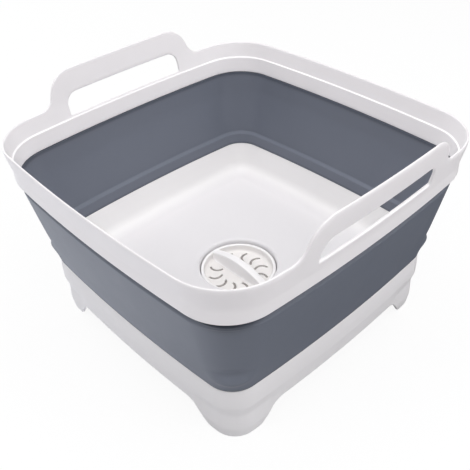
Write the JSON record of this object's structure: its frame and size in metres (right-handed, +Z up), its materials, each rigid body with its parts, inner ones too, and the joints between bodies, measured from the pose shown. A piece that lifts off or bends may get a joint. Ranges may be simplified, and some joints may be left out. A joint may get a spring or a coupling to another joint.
{
  "type": "folding washing up bowl",
  "caption": "Square folding washing up bowl with a rigid handled rim, a soft folding wall, and a footed tray whose floor has a lift-out drain plug.",
  "frame": {"origin": "on the ground, under the middle of the bowl, at the level of the feet", "axes": "+Z up out of the bowl, X from handle to handle, Y along the plain sides"},
  "size_m": [0.3158, 0.3076, 0.2122],
  "materials": {
    "white_plastic": "satin moulded polypropylene, faintly warm white",
    "grey_elastomer": "matte blue-grey thermoplastic elastomer",
    "seal_elastomer": "matte pale grey elastomer"
  },
  "bodies": {
    "base": {"base_tray": "white_plastic", "folding_wall": "grey_elastomer"},
    "rim": {"rim_frame": "white_plastic"},
    "plug": {"plug_seal": "seal_elastomer"},
    "strainer": {"drain_strainer": "white_plastic"}
  },
  "joints": [
    {"name": "bowl_collapse", "type": "slide", "parent": "base", "child": "rim", "axis": [0, 0, 1], "range_m": [-0.106, 0], "deforming": ["folding_wall"]},
    {"name": "plug_lift", "type": "slide", "parent": "base", "child": "plug", "axis": [0, 0, 1], "range_m": [0, 0.195]},
    {"name": "plug_turn", "type": "hinge", "parent": "plug", "child": "strainer", "pos_m": [0, 0, 0.03], "axis": [0, 0, 1], "continuous": true}
  ]
}
